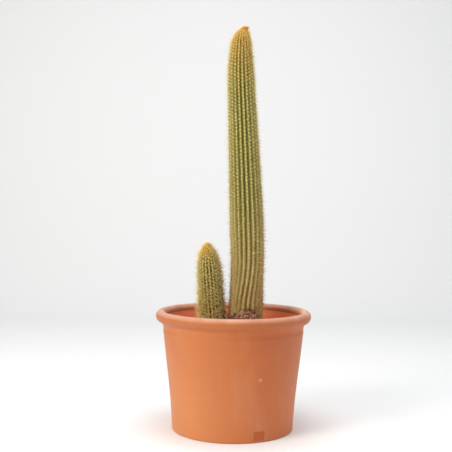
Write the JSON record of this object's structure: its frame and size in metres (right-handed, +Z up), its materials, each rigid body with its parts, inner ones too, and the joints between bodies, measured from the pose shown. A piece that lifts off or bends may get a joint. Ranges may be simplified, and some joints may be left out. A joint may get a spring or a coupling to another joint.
{
  "type": "potted tall cactus",
  "caption": "Tall ribbed column cactus with dense golden spines and a short offset beside it, growing in a round terracotta pot with a rolled rim.",
  "frame": {"origin": "centre of the pot's underside, where it stands", "axes": "+Z up the stems; -Y is the front of the plant; +X to the right, from the short stem towards the tall one"},
  "size_m": [0.25, 0.25, 0.644],
  "materials": {
    "terracotta": "matt unglazed fired clay",
    "potting_mix": "loose red-brown bark, coir and grit",
    "tall_stem_skin": "waxy green rind",
    "short_stem_skin": "waxy olive-green rind",
    "golden_spines": "dry golden straw-coloured spines and wool"
  },
  "bodies": {
    "root": {"terracotta_pot": "terracotta", "potting_mix": "potting_mix", "tall_stem": "tall_stem_skin", "short_stem": "short_stem_skin"}
  },
  "joints": []
}
